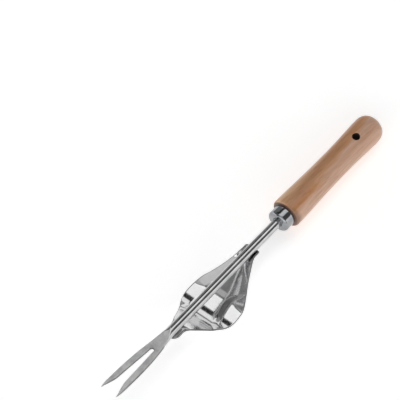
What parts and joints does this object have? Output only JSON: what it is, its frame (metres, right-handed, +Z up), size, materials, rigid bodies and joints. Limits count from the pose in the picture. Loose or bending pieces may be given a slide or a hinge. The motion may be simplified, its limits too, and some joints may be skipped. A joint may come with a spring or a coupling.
{
  "type": "hand weeder",
  "caption": "Hand weeder: a forked steel shaft with a pressed fulcrum plate, a ferrule and a turned wooden handle with a hanging hole.",
  "frame": {"origin": "on the ground, under the middle of the tool's length and width, as it lies on its plate and its butt", "axes": "+X from the fork to the handle, +Y across the prongs, +Z up; the shaft slopes down by 3.5 degrees towards +X because the tool rests on its plate's belly and its handle's butt"},
  "size_m": [0.3267, 0.0474, 0.0361],
  "materials": {
    "handle_wood": "turned beech under a thin clear lacquer, with a darker streak of grain",
    "ferrule_steel": "pressed and polished steel",
    "fork_steel": "polished round shaft, satin ground fork faces",
    "plate_steel": "pressed stainless sheet, bright rolled surface",
    "weld_metal": "bare weld bead with heat tint",
    "glue": "cured epoxy, hidden inside the handle"
  },
  "bodies": {
    "root": {"handle": "handle_wood", "ferrule": "ferrule_steel", "fork_shaft": "fork_steel", "fulcrum_plate": "plate_steel", "front_welds": "weld_metal", "rear_weld": "weld_metal", "tang_glue": "glue"}
  },
  "joints": []
}
